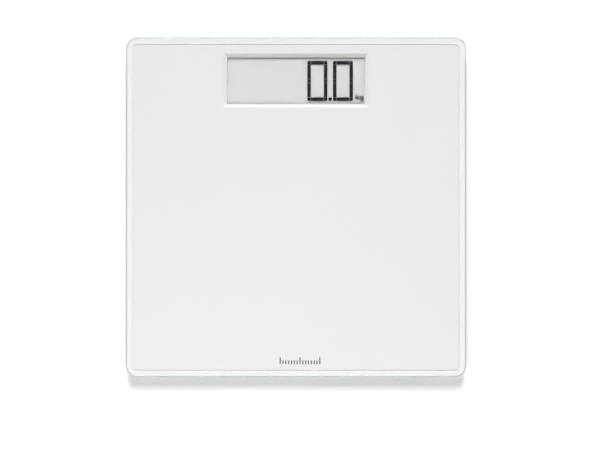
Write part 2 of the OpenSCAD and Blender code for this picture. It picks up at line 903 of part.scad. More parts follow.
module battery_positive_contact() {
    strip_z = bay_top - contact_t;
    touch_y = coin_d / 2;
    back_y = touch_y + 2 * contact_t;
    tail_y = bay_d / 2 + contact_tail;
    color([0.8, 0.8, 0.82])
        translate([-contact_w / 2, coin_y, 0])
            rotate([90, 0, 90])
                linear_extrude(contact_w)
                    polygon([
                        [back_y, coin_z + 0.4], [back_y, strip_z], [tail_y, strip_z],
                        [tail_y, bay_top], [back_y - contact_t, bay_top],
                        [back_y - contact_t, coin_z + 2.2], [touch_y, coin_z + 1.7],
                        [touch_y, coin_z + 1.3], [back_y - contact_t, coin_z + 0.8],
                        [back_y - contact_t, coin_z + 0.4],
                    ]);
}

// ---- Button ----

module unit_button() {
    color([0.82, 0.83, 0.84])
        difference() {
            union() {
                post(button_x, button_y, button_r, ground_gap - button_proud, floor_top - 0.2);
                post(button_x, button_y, button_flange_r, button_flange_z,
                     button_flange_z + button_flange_t);
                post(button_x, button_y, plunger_r + 0.5, floor_top - 0.3, switch_z - plunger_proud);
            }
            // Shallow dish for a fingertip
            translate([button_x, button_y, ground_gap - button_proud - 19.6]) sphere(r = 20);
        }
}

// ---- Weighing corner ----

module load_cell() {
    inner = cell_side - 2 * cell_rim;
    color([0.72, 0.73, 0.75])
        translate([0, 0, cell_z])
            linear_extrude(cell_t)
                difference() {
                    rounded_outline(cell_side, cell_side, cell_corner_r);
                    difference() {
                        rounded_outline(inner, inner, 2);
                        circle(tongue_pad_r);
                        translate([0, -tongue_w / 2]) square([cell_side / 2, tongue_w]);
                    }
                    for (s = [-1, 1])
                        translate([-cell_side / 2 + cell_rim / 2 + 0.3, s * (cell_side / 2 - 3.6)])
                            circle(1.3);
                }
}

module strain_gauges() {
    color([0.85, 0.65, 0.35])
        for (c = CORNERS) at_corner(c)
            block(gauge_x - 2.4, gauge_x + 2.4, -1.9, 1.9, cell_top, cell_top + gauge_t);
}

module gauge_sealant() {
    color([0.96, 0.96, 0.94])
        for (c = CORNERS) at_corner(c)
            translate([gauge_x, 0, cell_top + gauge_t]) dome(seal_r, seal_h);
}

module load_cell_holder() {
    half = holder_side / 2;
    recess = cell_side + 2 * holder_clear;
    room = cell_side - 2 * cell_rim + 2;
    color([0.9, 0.9, 0.88])
        difference() {
            rounded_block(holder_side, holder_side, holder_r, cell_z, tape_z);
            rounded_block(recess, recess, cell_corner_r + holder_clear, cell_z - cut, cell_top);
            rounded_block(room, room, 3, cell_z, cell_top + tongue_room);
            block(0, half + cut, -slot_w / 2, slot_w / 2, cell_z - cut, cell_top + tongue_room);
            for (sx = [-1, 1], sy = [-1, 1]) {
                post(sx * holder_screw, sy * holder_screw, screw_r + screw_gap, cell_z - cut, tape_z);
                post(sx * holder_screw, sy * holder_screw, screw_head_r + 0.2, holder_seat,
                     tape_z + cut);
            }
        }
}

module holder_screws() {
    color("silver")
        for (c = CORNERS) at_corner(c)
            for (sx = [-1, 1], sy = [-1, 1])
                screw(sx * holder_screw, sy * holder_screw, holder_seat,
                      holder_seat - ground_gap - 1.2);
}

module foot_carrier() {
    web = 1.4;
    wall = 2;
    seat_z = skirt_z + pad_seat;
    hollow_z = seat_z + web;
    hub_r = foot_boss_r + 1;
    top = foot_flange_z + foot_flange_t;
    color([0.93, 0.93, 0.92]) {
        rotate_extrude()
            polygon([
                [0, seat_z], [pad_r + 0.05, seat_z], [pad_r + 0.05, skirt_z], [foot_r, skirt_z],
                [foot_r, foot_flange_z], [foot_flange_r, foot_flange_z], [foot_flange_r, top],
                [foot_r - wall, top], [foot_r - wall, hollow_z], [hub_r, hollow_z], [hub_r, top],
                [foot_boss_r, top], [foot_boss_r, cell_z - boss_gap], [0, cell_z - boss_gap],
            ]);
        // Webs from the hub to the skirt
        for (a = [0 : 60 : 300])
            rotate([0, 0, a])
                block(hub_r - 0.6, foot_r - wall / 2, -rib_t / 2, rib_t / 2,
                      hollow_z - web / 2, top - web / 2);
    }
}

module foot_pad() {
    top = skirt_z + pad_seat;
    edge = 0.5;
    groove = 0.6;
    color([0.3, 0.3, 0.31])
        rotate_extrude()
            difference() {
                polygon([[0, 0], [pad_r - edge, 0], [pad_r, edge], [pad_r, top], [0, top]]);
                for (r = [pad_r * 0.45, pad_r * 0.62, pad_r * 0.79])
                    translate([r, -cut]) square([groove * 2, cut + groove]);
            }
}

// ---- Nodes ----

glass_platform();
back_print();
print_mark();
platform_tape();
holder_pads();
display_bezel();
lcd_front_glass();
lcd_segments();
lcd_rear_glass();
lcd_reflector();
contact_strip();
main_board();
controller_blob();
crystal();
chip_parts();
solder_joints();
switch_body();
switch_plunger();
display_screws();
base_tray();
battery_door();
coin_cell();
battery_negative_contact();
battery_positive_contact();
unit_button();
rating_label();
strain_gauges();
gauge_sealant();
holder_screws();
red_leads();
white_leads();
black_leads();
for (c = CORNERS) {
    at_corner(c) load_cell();
    at_corner(c) load_cell_holder();
    at_corner(c) foot_carrier();
    at_corner(c) foot_pad();
}
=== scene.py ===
"""Looks of a digital bathroom scale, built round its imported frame. Lengths are in metres."""
import json
import math

import bmesh
import bpy
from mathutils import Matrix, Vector

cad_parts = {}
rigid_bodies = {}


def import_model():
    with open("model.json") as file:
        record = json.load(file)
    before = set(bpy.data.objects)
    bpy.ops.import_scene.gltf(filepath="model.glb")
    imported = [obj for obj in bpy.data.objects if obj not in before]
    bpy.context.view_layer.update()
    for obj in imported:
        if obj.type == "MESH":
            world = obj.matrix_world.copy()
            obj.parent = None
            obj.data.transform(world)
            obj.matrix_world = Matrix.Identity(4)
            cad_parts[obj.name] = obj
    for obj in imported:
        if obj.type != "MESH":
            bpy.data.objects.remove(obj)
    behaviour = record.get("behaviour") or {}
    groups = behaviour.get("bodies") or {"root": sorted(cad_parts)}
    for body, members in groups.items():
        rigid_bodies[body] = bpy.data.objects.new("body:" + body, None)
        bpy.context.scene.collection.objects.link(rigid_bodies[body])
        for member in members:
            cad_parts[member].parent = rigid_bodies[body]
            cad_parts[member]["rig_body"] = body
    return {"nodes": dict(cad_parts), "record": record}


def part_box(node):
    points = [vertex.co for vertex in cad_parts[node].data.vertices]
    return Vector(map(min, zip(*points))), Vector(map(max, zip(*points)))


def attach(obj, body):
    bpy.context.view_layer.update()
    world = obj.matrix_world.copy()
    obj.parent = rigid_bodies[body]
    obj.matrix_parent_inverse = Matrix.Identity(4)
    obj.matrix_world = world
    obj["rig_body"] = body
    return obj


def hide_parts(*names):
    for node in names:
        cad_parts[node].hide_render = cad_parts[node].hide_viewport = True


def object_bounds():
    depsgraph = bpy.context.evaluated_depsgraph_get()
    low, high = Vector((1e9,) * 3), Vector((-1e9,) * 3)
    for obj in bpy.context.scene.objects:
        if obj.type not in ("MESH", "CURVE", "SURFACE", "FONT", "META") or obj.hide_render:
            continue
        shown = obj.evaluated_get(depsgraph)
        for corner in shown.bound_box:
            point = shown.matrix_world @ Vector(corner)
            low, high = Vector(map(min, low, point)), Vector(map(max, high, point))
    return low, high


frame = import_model()
CAD_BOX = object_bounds()
MM = 0.001
WELD = 0.002 * MM
CORNERS = ("front_left", "front_right", "rear_left", "rear_right")


# ---- Node trees ----


class Value:
    """A socket that takes part in Python arithmetic: an expression adds its Math nodes."""

    def __init__(self, graph, socket):
        self.graph = graph
        self.socket = socket

    def maths(self, operation, first, second=0.0):
        return self.graph.add("ShaderNodeMath", {"operation": operation}, {0: first, 1: second})

    def __add__(self, other):
        return self.maths("ADD", self, other)

    def __sub__(self, other):
        return self.maths("SUBTRACT", self, other)

    def __mul__(self, other):
        return self.maths("MULTIPLY", self, other)

    def __truediv__(self, other):
        return self.maths("DIVIDE", self, other)

    def __mod__(self, other):
        return self.maths("FLOORED_MODULO", self, other)

    def __gt__(self, other):
        return self.maths("GREATER_THAN", self, other)

    def __lt__(self, other):
        return self.maths("LESS_THAN", self, other)

    def __abs__(self):
        return self.maths("ABSOLUTE", self)

    def or_more(self, other):
        return self.maths("MAXIMUM", self, other)

    def floor(self):
        return self.maths("FLOOR", self)


class Nodes:
    """A node tree, with one method that adds any node to it."""

    def __init__(self, tree):
        self.tree = tree

    def add(self, kind, settings=None, inputs=None, output=0):
        """Adds a node, sets its settings, and then the values or links of its sockets."""
        node = self.tree.nodes.new(kind)
        for key, value in (settings or {}).items():
            setattr(node, key, value)
        for key, value in (inputs or {}).items():
            if isinstance(value, (list, set)):
                for item in value:
                    self.tree.links.new(item.socket, node.inputs[key])
            elif isinstance(value, Value):
                self.tree.links.new(value.socket, node.inputs[key])
            else:
                node.inputs[key].default_value = value
        if len(node.outputs) == 0:
            return None
        return Value(self, node.outputs[output])


class Shape(Nodes):
    """A Geometry Nodes tree whose named inputs are the sizes of the piece that it makes."""

    def __init__(self, name, sizes):
        super().__init__(bpy.data.node_groups.new(name, "GeometryNodeTree"))
        face = self.tree.interface
        face.new_socket("Geometry", in_out="OUTPUT", socket_type="NodeSocketGeometry")
        face.new_socket("Geometry", in_out="INPUT", socket_type="NodeSocketGeometry")
        face.new_socket("Finish", in_out="INPUT", socket_type="NodeSocketMaterial")
        for size in sizes:
            face.new_socket(size, in_out="INPUT", socket_type="NodeSocketFloat")
        group = self.tree.nodes.new("NodeGroupInput")
        self.given = {socket.name: Value(self, socket) for socket in group.outputs if socket.name}

    def placed(self, geometry):
        """Moves what was made round the origin to the given middle and bottom."""
        place = [self.given[name] for name in ("Middle X", "Middle Y", "Bottom")]
        middle = self.add("ShaderNodeCombineXYZ", {}, dict(enumerate(place)))
        return self.add("GeometryNodeTransform", {}, {"Geometry": geometry, "Translation": middle})

    def finish(self, geometry):
        """Ends the tree with real geometry in its finish."""
        real = self.add("GeometryNodeRealizeInstances", {}, {0: geometry})
        done = self.add("GeometryNodeSetMaterial", {}, {"Geometry": real, "Material": self.given["Finish"]})
        self.add("NodeGroupOutput", {}, {0: done})
        return self

    def make(self, name, finish, sizes, base=None):
        """A plain mesh object that the tree makes from a base mesh and its sizes."""
        source = bpy.data.objects.new("source", base or bpy.data.meshes.new("empty"))
        bpy.context.scene.collection.objects.link(source)
        modifier = source.modifiers.new("shape", "NODES")
        modifier.node_group = self.tree
        given = {"Finish": finish, **sizes}
        for item in self.tree.interface.items_tree:
            if item.in_out == "INPUT" and item.name in given:
                modifier[item.identifier] = given[item.name]
        return settled(source, name)


def settled(source, name):
    """The evaluated object as a new plain mesh object, with the source and its modifiers gone."""
    graph = bpy.context.evaluated_depsgraph_get()
    mesh = bpy.data.meshes.new_from_object(source.evaluated_get(graph), depsgraph=graph)
    mesh.name = name
    bpy.data.objects.remove(source)
    piece = bpy.data.objects.new(name, mesh)
    bpy.context.scene.collection.objects.link(piece)
    return piece


class Finish(Nodes):
    """One material's node tree, with the recipes that the finishes here share."""

    def __init__(self, name):
        self.material = bpy.data.materials.new(name)
        self.material.use_nodes = True
        super().__init__(self.material.node_tree)
        self.tree.nodes.clear()

    def place(self):
        return self.add("ShaderNodeTexCoord", output="Object")

    def stretched(self, scale, turn=(0, 0, 0)):
        """Object coordinates, scaled along each axis."""
        return self.add(
            "ShaderNodeMapping", {}, {"Vector": self.place(), "Scale": scale, "Rotation": turn}
        )

    def axes(self):
        """The three object coordinates, each as a value."""
        split = self.add("ShaderNodeSeparateXYZ", {}, {0: self.place()})
        return [Value(self, socket) for socket in split.socket.node.outputs]

    def noise(self, size, detail=2.0, vector=None):
        """Soft noise from 0 to 1, with features of about the given size."""
        return self.add(
            "ShaderNodeTexNoise",
            {"noise_dimensions": "3D"},
            {"Vector": vector or self.place(), "Scale": 1.0 / size, "Detail": detail},
        )

    def cells(self, size, vector=None):
        """Distance from the middle of the nearest of many small cells."""
        return self.add(
            "ShaderNodeTexVoronoi", {}, {"Vector": vector or self.place(), "Scale": 1.0 / size}
        )

    def stretch(self, value, low, high):
        """Spreads the part of a value between low and high over 0 to 1."""
        return self.add(
            "ShaderNodeMapRange", {}, {"Value": value, "From Min": low, "From Max": high}
        )

    def blend(self, share, first, second):
        """A colour that goes from the first to the second."""
        inputs = {0: share, 6: as_colour(first), 7: as_colour(second)}
        return self.add("ShaderNodeMix", {"data_type": "RGBA"}, inputs, output=2)

    def bump(self, height, depth, normal=None):
        inputs = {"Height": height, "Distance": depth, "Strength": 1.0}
        if normal:
            inputs["Normal"] = normal
        return self.add("ShaderNodeBump", {}, inputs)

    def principled(self, **inputs):
        """A Principled shader, whose socket names are given with _ for each space."""
        named = {key.replace("_", " "): value for key, value in inputs.items()}
        return self.add("ShaderNodeBsdfPrincipled", {}, named)

    def lit_through(self, surface, tint):
        """Lets lamps and bounced light straight through, so that what lies behind is lit."""
        lamp = self.add("ShaderNodeLightPath", output="Is Shadow Ray")
        bounce = self.add("ShaderNodeLightPath", output="Is Diffuse Ray")
        through = self.add("ShaderNodeBsdfTransparent", {}, {"Color": (*tint, 1.0)})
        inputs = {0: lamp.or_more(bounce), 1: surface, 2: through}
        return self.add("ShaderNodeMixShader", {}, inputs)

    def done(self, shader):
        self.add("ShaderNodeOutputMaterial", {}, {"Surface": shader})
        return self.material


def as_colour(value):
    return value if isinstance(value, Value) else (*value, 1.0)


def shaded(tint, share):
    """A colour made darker or lighter by a share."""
    return tuple(min(1.0, channel * share) for channel in tint)


# ---- Finishes ----


def moulded(name, tint, roughness=0.42, grain=0.35 * MM, depth=0.012 * MM, cloud=45 * MM):
    """Moulded plastic: a fine spark-eroded texture and a tone that drifts slightly."""
    f = Finish(name)
    fine = f.noise(grain, 3.0)
    drift = f.noise(cloud)
    tone = f.blend(drift * 0.7 + fine * 0.3, shaded(tint, 0.965), shaded(tint, 1.025))
    return f.done(f.principled(
        Base_Color=tone,
        Roughness=fine * 0.14 + drift * 0.08 + (roughness - 0.11),
        IOR=1.49,
        Normal=f.bump(fine, depth),
    ))


def stamped_metal(name, tint, roughness=0.28, grain=(1.0, 1.0, 1.0), size=0.5 * MM):
    """Sheet metal with drawn streaks and faint blotches."""
    f = Finish(name)
    streaks = f.noise(size, 4.0, f.stretched(grain))
    blotches = f.noise(5 * MM)
    return f.done(f.principled(
        Base_Color=f.blend(streaks * 0.6 + blotches * 0.4, shaded(tint, 0.84), shaded(tint, 1.06)),
        Metallic=1.0,
        Roughness=streaks * 0.16 + blotches * 0.1 + (roughness - 0.13),
        Normal=f.bump(streaks, 0.006 * MM),
    ))


def insulation(name, tint):
    """Soft PVC with a waxy surface and a little rubbed-off dust."""
    f = Finish(name)
    skin = f.noise(0.8 * MM, 3.0)
    dust = f.noise(9 * MM)
    return f.done(f.principled(
        Base_Color=f.blend(skin * 0.5 + dust * 0.5, shaded(tint, 0.86), shaded(tint, 1.08)),
        Roughness=skin * 0.2 + 0.3,
        IOR=1.5,
        Normal=f.bump(skin, 0.02 * MM),
    ))


def glass(name, tint, roughness=0.0, ior=1.52, wave=0.02 * MM, wave_size=55 * MM):
    """Clear glass with the faint wave of toughening. Lamps light what lies beneath it."""
    f = Finish(name)
    wavy = f.noise(wave_size, 1.0)
    clear = f.principled(
        Base_Color=(*tint, 1.0),
        Roughness=roughness,
        IOR=ior,
        Transmission_Weight=1.0,
        Normal=f.bump(wavy, wave),
    )
    return f.done(f.lit_through(clear, tint))


def ground_glass():
    """The ground arris and sides of the platform: pale, frosted, with fine grinding marks."""
    f = Finish("ground_glass")
    marks = f.noise(0.18 * MM, 3.0)
    streaks = f.noise(1.2 * MM, 2.0, f.stretched((1.0, 1.0, 6.0)))
    tone = f.blend(streaks * 0.6 + marks * 0.4, (0.3, 0.34, 0.325), (0.38, 0.42, 0.405))
    surface = f.principled(
        Base_Color=tone,
        Roughness=marks * 0.2 + 0.32,
        IOR=1.52,
        Transmission_Weight=0.35,
        Normal=f.bump(marks, 0.02 * MM),
    )
    return f.done(f.lit_through(surface, (0.93, 0.96, 0.95)))


def screen_print(name, tint):
    """Ink printed on the back of the glass through a fine mesh."""
    f = Finish(name)
    mesh = f.cells(0.32 * MM)
    drift = f.noise(90 * MM)
    tone = f.blend(mesh * 0.35 + drift * 0.65, shaded(tint, 1.012), shaded(tint, 0.988))
    return f.done(f.principled(
        Base_Color=tone,
        Roughness=mesh * 0.1 + 0.55,
        Specular_IOR_Level=0.05,
        Normal=f.bump(mesh, 0.004 * MM),
    ))


def foam(name):
    """Closed-cell foam, with open cells along its cut edges."""
    f = Finish(name)
    bubbles = f.cells(0.5 * MM)
    return f.done(f.principled(
        Base_Color=f.blend(bubbles, (0.02, 0.02, 0.022), (0.07, 0.07, 0.075)),
        Roughness=bubbles * 0.1 + 0.85,
        Normal=f.bump(bubbles, 0.12 * MM),
    ))


def reflector():
    """The display's silvery backing, with a fine scattering grain."""
    f = Finish("display_reflector")
    grain = f.noise(0.16 * MM, 4.0)
    drift = f.noise(50 * MM)
    tone = f.blend(grain * 0.75 + drift * 0.25, (0.52, 0.514, 0.514), (0.604, 0.598, 0.598))
    return f.done(f.principled(
        Base_Color=tone,
        Metallic=0.1,
        Roughness=grain * 0.1 + 0.6,
        Normal=f.bump(grain, 0.008 * MM),
    ))


def segment_ink():
    f = Finish("segment_ink")
    grain = f.noise(0.2 * MM, 3.0)
    return f.done(f.principled(
        Base_Color=f.blend(grain, (0.006, 0.006, 0.008), (0.014, 0.014, 0.017)),
        Roughness=grain * 0.1 + 0.5,
        Specular_IOR_Level=0.05,
    ))


def striped_rubber():
    """Silicone strip of thin conducting and insulating layers."""
    f = Finish("striped_rubber")
    x = f.axes()[0]
    layer = (x / (0.5 * MM)) % 1.0 > 0.5
    skin = f.noise(0.3 * MM, 3.0)
    stripes = f.blend(layer, (0.62, 0.2, 0.24), (0.03, 0.03, 0.03))
    return f.done(f.principled(
        Base_Color=f.blend(skin * 0.2, stripes, (0.75, 0.6, 0.6)),
        Roughness=skin * 0.2 + 0.5,
        Normal=f.bump(skin, 0.02 * MM),
    ))


def board_laminate():
    """Green solder mask over copper tracks, with the glass weave showing faintly."""
    f = Finish("board_laminate")
    x, y, _ = f.axes()
    weave_x = abs((x / (0.6 * MM)) % 1.0 - 0.5)
    weave_y = abs((y / (0.6 * MM)) % 1.0 - 0.5)
    weave = weave_x.or_more(weave_y)
    bend = f.noise(14 * MM, 0.0)
    track = abs(((x + bend * 9 * MM) / (2.4 * MM)) % 1.0 - 0.5) < 0.16
    mask = f.blend(weave, (0.012, 0.1, 0.045), (0.016, 0.13, 0.06))
    return f.done(f.principled(
        Base_Color=f.blend(track, mask, (0.04, 0.21, 0.09)),
        Roughness=weave * 0.1 + 0.25,
        Normal=f.bump(track, 0.035 * MM, f.bump(weave, 0.01 * MM)),
    ))


def epoxy():
    f = Finish("black_epoxy")
    flow = f.noise(2.5 * MM)
    return f.done(f.principled(
        Base_Color=f.blend(flow, (0.006, 0.006, 0.007), (0.02, 0.02, 0.021)),
        Roughness=flow * 0.2 + 0.12,
        Normal=f.bump(flow, 0.08 * MM),
    ))


def ceramic():
    """Chip bodies of tan and grey ceramic."""
    f = Finish("chip_ceramic")
    speckle = f.noise(0.2 * MM, 3.0)
    batch = f.noise(4 * MM, 0.0)
    tone = f.blend(f.stretch(batch, 0.45, 0.55), (0.46, 0.33, 0.2), (0.09, 0.09, 0.1))
    return f.done(f.principled(
        Base_Color=f.blend(speckle * 0.3, tone, (0.6, 0.5, 0.4)),
        Roughness=speckle * 0.2 + 0.35,
        Normal=f.bump(speckle, 0.01 * MM),
    ))


def rubber(name, tint):
    """Moulded rubber with a matt bloom and specks of dust."""
    f = Finish(name)
    skin = f.noise(0.45 * MM, 4.0)
    bloom = f.noise(7 * MM)
    tone = f.blend(f.stretch(bloom, 0.35, 0.75) * 0.6 + skin * 0.4, shaded(tint, 0.8), shaded(tint, 1.3))
    return f.done(f.principled(
        Base_Color=tone,
        Roughness=skin * 0.16 + 0.68,
        IOR=1.45,
        Normal=f.bump(skin, 0.05 * MM),
    ))


def label_film():
    """Printed film: a thin frame, a filled panel and plain bars, with no lettering."""
    f = Finish("label_film")
    low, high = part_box("rating_label")
    middle = (low + high) / 2
    half = (high - low) / 2
    x, y, _ = f.axes()
    across = x - middle.x
    along = y - middle.y
    inset = 2 * MM
    line = 0.3 * MM
    edge = (abs(across) - (half.x - inset)).or_more(abs(along) - (half.y - inset))
    outline = abs(edge) < line / 2
    panel = (abs(across + 24 * MM) - 7 * MM).or_more(abs(along) - 9 * MM) < 0.0
    row = (along / (5 * MM)) % 1.0 < 0.28
    rows = row * (abs(along) < 10 * MM) * (across > -13 * MM) * (across < 26 * MM)
    printed = outline.or_more(panel).or_more(rows)
    fibre = f.noise(0.4 * MM, 3.0)
    film = f.blend(fibre, (0.66, 0.66, 0.65), (0.74, 0.74, 0.73))
    return f.done(f.principled(
        Base_Color=f.blend(printed, film, (0.32, 0.33, 0.34)),
        Roughness=fibre * 0.15 + 0.3,
        Normal=f.bump(fibre, 0.006 * MM),
    ))


def gauge_film():
    """Amber film over a fine foil grid."""
    f = Finish("gauge_film")
    x, _, _ = f.axes()
    foil = (x / (0.4 * MM)) % 1.0 > 0.5
    film = f.noise(0.5 * MM)
    amber = f.blend(film, (0.55, 0.27, 0.05), (0.65, 0.35, 0.09))
    return f.done(f.principled(
        Base_Color=f.blend(foil, amber, (0.5, 0.4, 0.25)),
        Roughness=film * 0.2 + 0.25,
        Normal=f.bump(foil, 0.01 * MM),
    ))


FINISHES = {
    "clear_glass": lambda: glass("clear_glass", (0.994, 0.998, 0.996)),
    "grey_print": lambda: screen_print("grey_print", (0.602, 0.596, 0.602)),
    "black_print": lambda: screen_print("black_print", (0.012, 0.012, 0.013)),
    "foam_tape": lambda: foam("foam_tape"),
    "white_bezel": lambda: moulded("white_bezel", (0.72, 0.72, 0.72), 0.5),
    "display_glass": lambda: glass("display_glass", (0.985, 0.985, 0.985), wave=0.002 * MM),
    "segment_ink": segment_ink,
    "display_reflector": reflector,
    "striped_rubber": striped_rubber,
    "board_laminate": board_laminate,
    "black_epoxy": epoxy,
    "bright_tin": lambda: stamped_metal("bright_tin", (0.72, 0.73, 0.75), 0.22, size=0.6 * MM),
    "chip_ceramic": ceramic,
    "switch_plastic": lambda: moulded("switch_plastic", (0.02, 0.02, 0.022), 0.4),
    "plunger_plastic": lambda: moulded("plunger_plastic", (0.72, 0.7, 0.66), 0.4),
    "zinc_screw": lambda: stamped_metal("zinc_screw", (0.62, 0.63, 0.66), 0.3, size=0.4 * MM),
    "white_tray": lambda: moulded("white_tray", (0.61, 0.61, 0.608)),
    "coin_steel": lambda: stamped_metal("coin_steel", (0.66, 0.66, 0.67), 0.26, (1, 8, 1)),
    "contact_bronze": lambda: stamped_metal("contact_bronze", (0.75, 0.5, 0.25), 0.3, (1, 9, 1)),
    "contact_nickel": lambda: stamped_metal("contact_nickel", (0.68, 0.66, 0.62), 0.26, (9, 1, 1)),
    "grey_button": lambda: moulded("grey_button", (0.5, 0.51, 0.52), 0.46),
    "label_film": label_film,
    "gauge_film": gauge_film,
    "gauge_sealant": lambda: rubber("gauge_sealant", (0.7, 0.7, 0.68)),
    "pressed_steel": lambda: stamped_metal("pressed_steel", (0.58, 0.59, 0.6), 0.34, (1, 7, 1)),
    "holder_plastic": lambda: moulded("holder_plastic", (0.7, 0.7, 0.68)),
    "foot_plastic": lambda: moulded("foot_plastic", (0.76, 0.76, 0.755), 0.46),
    "grey_rubber": lambda: rubber("grey_rubber", (0.075, 0.077, 0.082)),
    "red_insulation": lambda: insulation("red_insulation", (0.55, 0.03, 0.03)),
    "white_insulation": lambda: insulation("white_insulation", (0.72, 0.72, 0.7)),
    "black_insulation": lambda: insulation("black_insulation", (0.02, 0.02, 0.02)),
}
materials = {name: make() for name, make in FINISHES.items()}
SLOTS = {part["node"]: part["material_slot"] for part in frame["record"]["subparts"]}


def paint_cad_nodes():
    """Gives each CAD node the finish of its slot."""
    for name, node in frame["nodes"].items():
        node.data.materials.clear()
        node.data.materials.append(materials[SLOTS[name]])


# ---- Pieces ----


def stands_for(piece, node):
    """A finished piece takes a CAD node's place and body, and the node is hidden."""
    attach(piece, frame["nodes"][node]["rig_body"])
    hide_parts(node)
    return piece


def smoothed(piece, angle):
    """Rounds the shading of every edge that turns less than the angle, and keeps flat faces flat."""
    piece.data.shade_smooth()
    piece.data.set_sharp_from_angle(angle=math.radians(angle))
    weighted = piece.modifiers.new("flat_faces", "WEIGHTED_NORMAL")
    weighted.mode = "FACE_AREA"
    weighted.weight = 100
    weighted.keep_sharp = True
    return settled(piece, piece.name.split(".")[0])


def facing_out(mesh):
    """Welds a mesh and turns all its faces outward."""
    shape = bmesh.new()
    shape.from_mesh(mesh)
    bmesh.ops.remove_doubles(shape, verts=shape.verts, dist=WELD)
    bmesh.ops.recalc_face_normals(shape, faces=shape.faces)
    shape.to_mesh(mesh)
    shape.free()


def bevelled(piece, width, segments, angle):
    """Rounds the edges that turn more than the angle, in degrees."""
    bevel = piece.modifiers.new("edge", "BEVEL")
    bevel.width = width
    bevel.segments = segments
    bevel.limit_method = "ANGLE"
    bevel.angle_limit = math.radians(angle)
    bevel.miter_outer = "MITER_ARC" if segments > 1 else "MITER_SHARP"
    return settled(piece, piece.name.split(".")[0])


def refined_copy(node, edge, segments=2):
    """A copy of a CAD node with its flat faces joined up and its edges slightly rounded."""
    mesh = frame["nodes"][node].data.copy()
    shape = bmesh.new()
    shape.from_mesh(mesh)
    bmesh.ops.remove_doubles(shape, verts=shape.verts, dist=WELD)
    bmesh.ops.dissolve_limit(
        shape, angle_limit=math.radians(0.4), verts=shape.verts, edges=shape.edges
    )
    shape.to_mesh(mesh)
    shape.free()
    if "custom_normal" in mesh.attributes:
        mesh.attributes.remove(mesh.attributes["custom_normal"])
    piece = bpy.data.objects.new(node + "_finished", mesh)
    bpy.context.scene.collection.objects.link(piece)
    piece = smoothed(bevelled(piece, edge, segments, 38), 34)
    piece.data.materials.clear()
    piece.data.materials.append(materials[SLOTS[node]])
    return stands_for(piece, node)


def slab_shape():
    """A flat slab with rounded corners."""
    sizes = ("Width", "Depth", "Corner Radius", "Height", "Middle X", "Middle Y", "Bottom")
    s = Shape("rounded_slab", sizes)
    g = s.given
    outline = s.add(
        "GeometryNodeCurvePrimitiveQuadrilateral",
        {"mode": "RECTANGLE"},
        {"Width": g["Width"], "Height": g["Depth"]},
    )
    rounded = s.add(
        "GeometryNodeFilletCurve",
        {"mode": "POLY"},
        {"Curve": outline, "Radius": g["Corner Radius"], "Count": 15},
    )
    face = s.add("GeometryNodeFillCurve", {"mode": "NGONS"}, {"Curve": rounded})
    raised = s.add(
        "GeometryNodeExtrudeMesh",
        {"mode": "FACES"},
        {"Mesh": face, "Offset Scale": g["Height"], "Individual": False},
    )
    under = s.add("GeometryNodeFlipFaces", {}, {"Mesh": face})
    both = s.add("GeometryNodeJoinGeometry", {}, {0: [raised, under]})
    return s.finish(s.placed(both))


SLAB = slab_shape()


def slab_for(node, corner_radius, lift=0.0, drop=0.0):
    """A slab in a CAD node's box, with its underside lifted and its top lowered a little."""
    low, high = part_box(node)
    sizes = {
        "Width": high.x - low.x,
        "Depth": high.y - low.y,
        "Corner Radius": corner_radius,
        "Height": high.z - low.z - lift - drop,
        "Middle X": (low.x + high.x) / 2,
        "Middle Y": (low.y + high.y) / 2,
        "Bottom": low.z + lift,
    }
    piece = SLAB.make(node + "_finished", materials[SLOTS[node]], sizes)
    facing_out(piece.data)
    return piece


def glass_platform():
    """The toughened platform: polished faces, and a matt ground arris along every edge."""
    arris = 0.8 * MM
    arris_edge = 0.12 * MM
    level = 0.95
    piece = slab_for("glass_platform", 10 * MM, lift=0.05 * MM)
    piece = bevelled(piece, arris, 1, 60)
    piece = bevelled(piece, arris_edge, 2, 30)
    ground = len(piece.data.materials)
    piece.data.materials.append(ground_glass())
    for face in piece.data.polygons:
        if abs(face.normal.z) < level:
            face.material_index = ground
    return stands_for(smoothed(piece, 20), "glass_platform")


def display_glasses():
    """The two sheets of display glass, each a hair clear of the ink or foil that it faces."""
    gap = 0.03 * MM
    for node, drop in (("lcd_front_glass", 0.0), ("lcd_rear_glass", gap)):
        piece = slab_for(node, 0.3 * MM, lift=gap, drop=drop)
        piece = bevelled(piece, 0.1 * MM, 1, 60)
        stands_for(smoothed(piece, 20), node)


